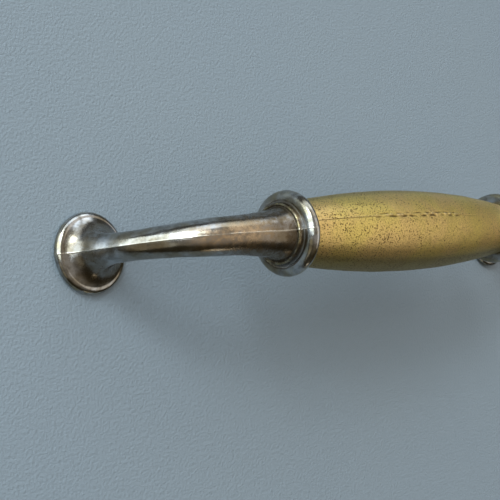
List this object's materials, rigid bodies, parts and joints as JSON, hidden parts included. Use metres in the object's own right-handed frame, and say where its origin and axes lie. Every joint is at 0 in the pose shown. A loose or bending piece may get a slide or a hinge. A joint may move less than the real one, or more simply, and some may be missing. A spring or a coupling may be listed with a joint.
{
  "type": "cabinet pull handle",
  "caption": "Bow pull handle for a drawer or cabinet front, with domed feet, curved necks, round collars and a barrel grip.",
  "frame": {"origin": "midway between the two fixing holes, on the plane of the front that the feet rest on", "axes": "+X along the handle from the left foot to the right foot, +Z out of the front, Y across the handle"},
  "size_m": [0.1428, 0.0164, 0.0292],
  "materials": {
    "antique_nickel": "dark antique nickel plating, polished, rubbed to bronze along the crest of each neck",
    "antique_brass": "semi-matte antique brass with fine dark pits and specks",
    "zinc_plated_steel": "bright zinc plating"
  },
  "bodies": {
    "root": {"left_post": "antique_nickel", "right_post": "antique_nickel", "grip_barrel": "antique_brass", "tie_rod": "zinc_plated_steel", "left_spring_washer": "zinc_plated_steel", "right_spring_washer": "zinc_plated_steel"}
  },
  "joints": []
}
